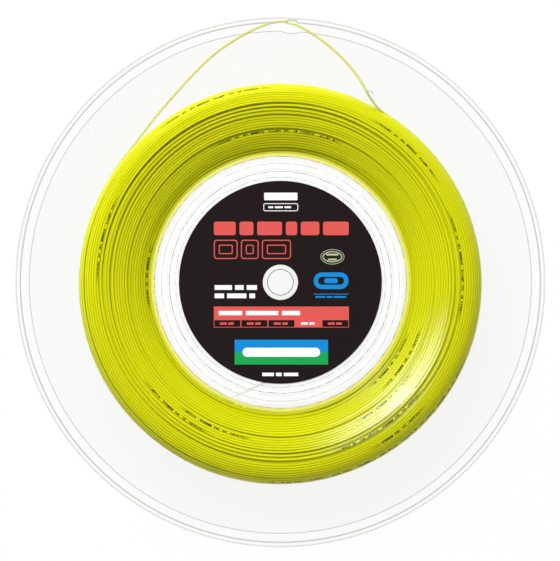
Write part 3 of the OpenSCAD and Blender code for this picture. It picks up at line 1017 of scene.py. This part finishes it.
# Two-coloured panel with a plain white bar, and the last line of small print
add_bar(bm, -24.2, -37.0, 49.4, 6.6, BLUE)
add_bar(bm, -24.2, -43.5, 49.4, 6.5, GREEN)
add_bar(bm, -20.0, -39.4, 41.0, 4.8, WHITE, corner=2.3, base=LABEL_TOP + INK)
add_dashes(bm, -9.6, -49.6, 1.8, WHITE, [6.2, 3.0, 7.6], 1.1)
bmesh.ops.recalc_face_normals(bm, faces=bm.faces[:])
prints = finish_piece("label_printing", bm, inks)

# %% [markdown]
# ## The seal
# A small oval sticker of metal foil: a circle of points stretched to an oval, with a dark
# printed field inside a bare border, and two foil bars across it.

# %% Seal
def foil_material():
    """Embossing foil under matte lacquer: slightly brushed, with a warm green cast."""
    made, tree, shader, _ = new_material("seal_foil", {
        "Base Color": linear("#E0E4C2"), "Metallic": 0.3})
    # Brushing of 0.3 mm
    rough = remap(tree, noise(tree, 3300.0, 1.0), 0.0, 1.0, 0.3, 0.55)
    tree.links.new(rough, shader.inputs["Roughness"])
    return made


foil = foil_material()
field = paper_material("seal_dark_field", "#242618", "#2E301E", 0.45)
SEAL_X, SEAL_Y, SEAL_W, SEAL_L = 27.5, 13.5, 12.6, 8.0
SEAL_TOP = 29.57
bm = bmesh.new()
oval = bmesh.ops.create_circle(bm, cap_ends=True, segments=72, radius=0.5)["verts"]
fit(bm, oval, (SEAL_W, SEAL_L, 0), (SEAL_X, SEAL_Y, LABEL_TOP + 0.02))
raise_faces(bm, bm.faces[:], SEAL_TOP - LABEL_TOP - 0.03)
bmesh.ops.recalc_face_normals(bm, faces=bm.faces[:])
inner = [f for f in bm.faces if f.normal.z > 0.9]
for inset, number in ((0.25, 1), (0.8, 0), (0.5, 1)):
    bmesh.ops.inset_region(bm, faces=inner, thickness=inset * MM, use_even_offset=True)
    for f in inner:
        f.material_index = number
for low, width in ((-1.9, 4.6), (0.7, 6.4)):
    add_bar(bm, SEAL_X - width / 2, SEAL_Y + low, width, 0.9, 0, base=SEAL_TOP - 0.01)
bmesh.ops.recalc_face_normals(bm, faces=bm.faces[:])
seal = finish_piece("seal_oval", bm, [foil, field])
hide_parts("seal_sticker")

# %% [markdown]
# ## Floor and light
# The reel lies on a plain white floor. Most of the floor's white is glow, so that the camera
# sees it as plain white, also through the clear plastic. The rest is plain paint, which keeps
# a faint shadow round the reel. The studio is a dim dome. Gloss finds it dark overhead, so that
# plates and string keep their colour from above, and white at the horizon.

# %% Floor
PURE_WHITE = (1, 1, 1, 1)
GLOW_SHARE = 0.92
FLOOR_W, FLOOR_Z = 6000, -0.3
bm = bmesh.new()
bmesh.ops.create_grid(bm, x_segments=1, y_segments=1, size=0.5)
fit(bm, bm.verts[:], (FLOOR_W, FLOOR_W, 0), (0, 0, FLOOR_Z))
floor_paint, tree, shader, output = new_material("white_floor_paint", {
    "Base Color": linear("#F6F6F6"), "Roughness": 0.9})
glow = add_node(tree, "ShaderNodeEmission")
mostly_glow = mix_shaders(tree, GLOW_SHARE, shader.outputs[0], glow.outputs[0])
rays = add_node(tree, "ShaderNodeLightPath")
surface = shader.outputs[0]
for kind in ("Is Camera Ray", "Is Transmission Ray", "Is Glossy Ray"):
    surface = mix_shaders(tree, rays.outputs[kind], surface, mostly_glow)
tree.links.new(surface, output.inputs["Surface"])
floor = finish_piece("floor", bm, [floor_paint], on_reel=False)

# %% World
world = bpy.data.worlds.new("studio")
scene.world = world
world.use_nodes = True
tree = world.node_tree
tree.nodes.clear()
direction = add_node(tree, "ShaderNodeTexCoord")
part = add_node(tree, "ShaderNodeSeparateXYZ", {"Vector": direction.outputs["Generated"]})
height = part.outputs["Z"]
rays = add_node(tree, "ShaderNodeLightPath").outputs
seen = add_node(tree, "ShaderNodeBackground", {
    "Color": PURE_WHITE, "Strength": remap(tree, height, 0.0, 0.7, 0.42, 0.50)}).outputs[0]
# Gloss on the string under the plate: in through the plate, off the string, and out again
plate_passed = calc(tree, "GREATER_THAN", rays["Transmission Depth"], 2.5)
string_gloss = calc(tree, "MULTIPLY", plate_passed, rays["Glossy Depth"], use_clamp=True)
# White up to about 30 degrees above the horizon, and dark from about 45
in_gloss = remap(tree, height, 0.45, 0.70, 1.0, 0.05)
for kind, level in ((rays["Is Transmission Ray"], 1.0), (rays["Is Glossy Ray"], in_gloss),
                    (string_gloss, in_gloss), (rays["Is Camera Ray"], 1.0)):
    plain = add_node(tree, "ShaderNodeBackground", {"Color": PURE_WHITE, "Strength": level})
    seen = mix_shaders(tree, kind, seen, plain.outputs[0])
add_node(tree, "ShaderNodeOutputWorld", {"Surface": seen})

# %% [markdown]
# The key light is a large softbox above the top left edge, low enough to model the winding:
# slopes that face it are bright and slopes that face away turn olive. Its own image is kept out
# of the gloss, as crossed filters on lamp and lens do in a studio. A small spot almost
# overhead, in a snoot, draws the one long white glint on the string. A larger, weaker one,
# lower down, lays a pale sheen on the slope inside it. They light nothing but string.

# %% Lamps
def hang(name, lamp, degrees, elevation, distance, aim=(0, 0, 0)):
    """Puts a lamp at a clock angle, an elevation and a distance, facing a point."""
    made = add_object(name, lamp)
    x, y = clock(distance * math.cos(math.radians(elevation)), degrees)
    made.location = (x, y, distance * math.sin(math.radians(elevation)))
    way = Vector(aim) - made.location
    made.rotation_euler = way.to_track_quat("-Z", "Y").to_euler()
    return made


# The softbox is 2.9 by 1.6 m and hangs 3.5 m away
softbox = bpy.data.lights.new("key", "AREA")
softbox.shape, softbox.size, softbox.size_y = "RECTANGLE", 2.9, 1.6
softbox.energy = 156.0
key = hang("key", softbox, 338, 33, 3.5)
key.visible_glossy = key.visible_transmission = False

strings_only = bpy.data.collections.new("lit_by_the_spots")
for piece in (winding, under, core):
    strings_only.objects.link(piece)
# Name, watts, size of the lamp in m, cone and elevation in degrees, and the radius in m and
# clock angle it aims at. Both hang on the far side of the axis
SPOTS = (("glint", 36.0, 0.03, 4.5, 86.5, 0.092, 134), ("sheen", 12.0, 0.08, 7.0, 58, 0.074, 139))
SPOT_ANGLE, SPOT_AWAY = 317, 1.0
AIM_HEIGHT = 0.025
for name, watts, size, cone, elevation, out, degrees in SPOTS:
    snoot = bpy.data.lights.new(name, "SPOT")
    snoot.energy, snoot.shadow_soft_size = watts, size
    snoot.spot_size, snoot.spot_blend = math.radians(cone), 1.0
    spot = hang(name, snoot, SPOT_ANGLE, elevation, SPOT_AWAY,
                aim=(*clock(out, degrees), AIM_HEIGHT))
    spot.visible_diffuse = False
    spot.light_linking.receiver_collection = strings_only
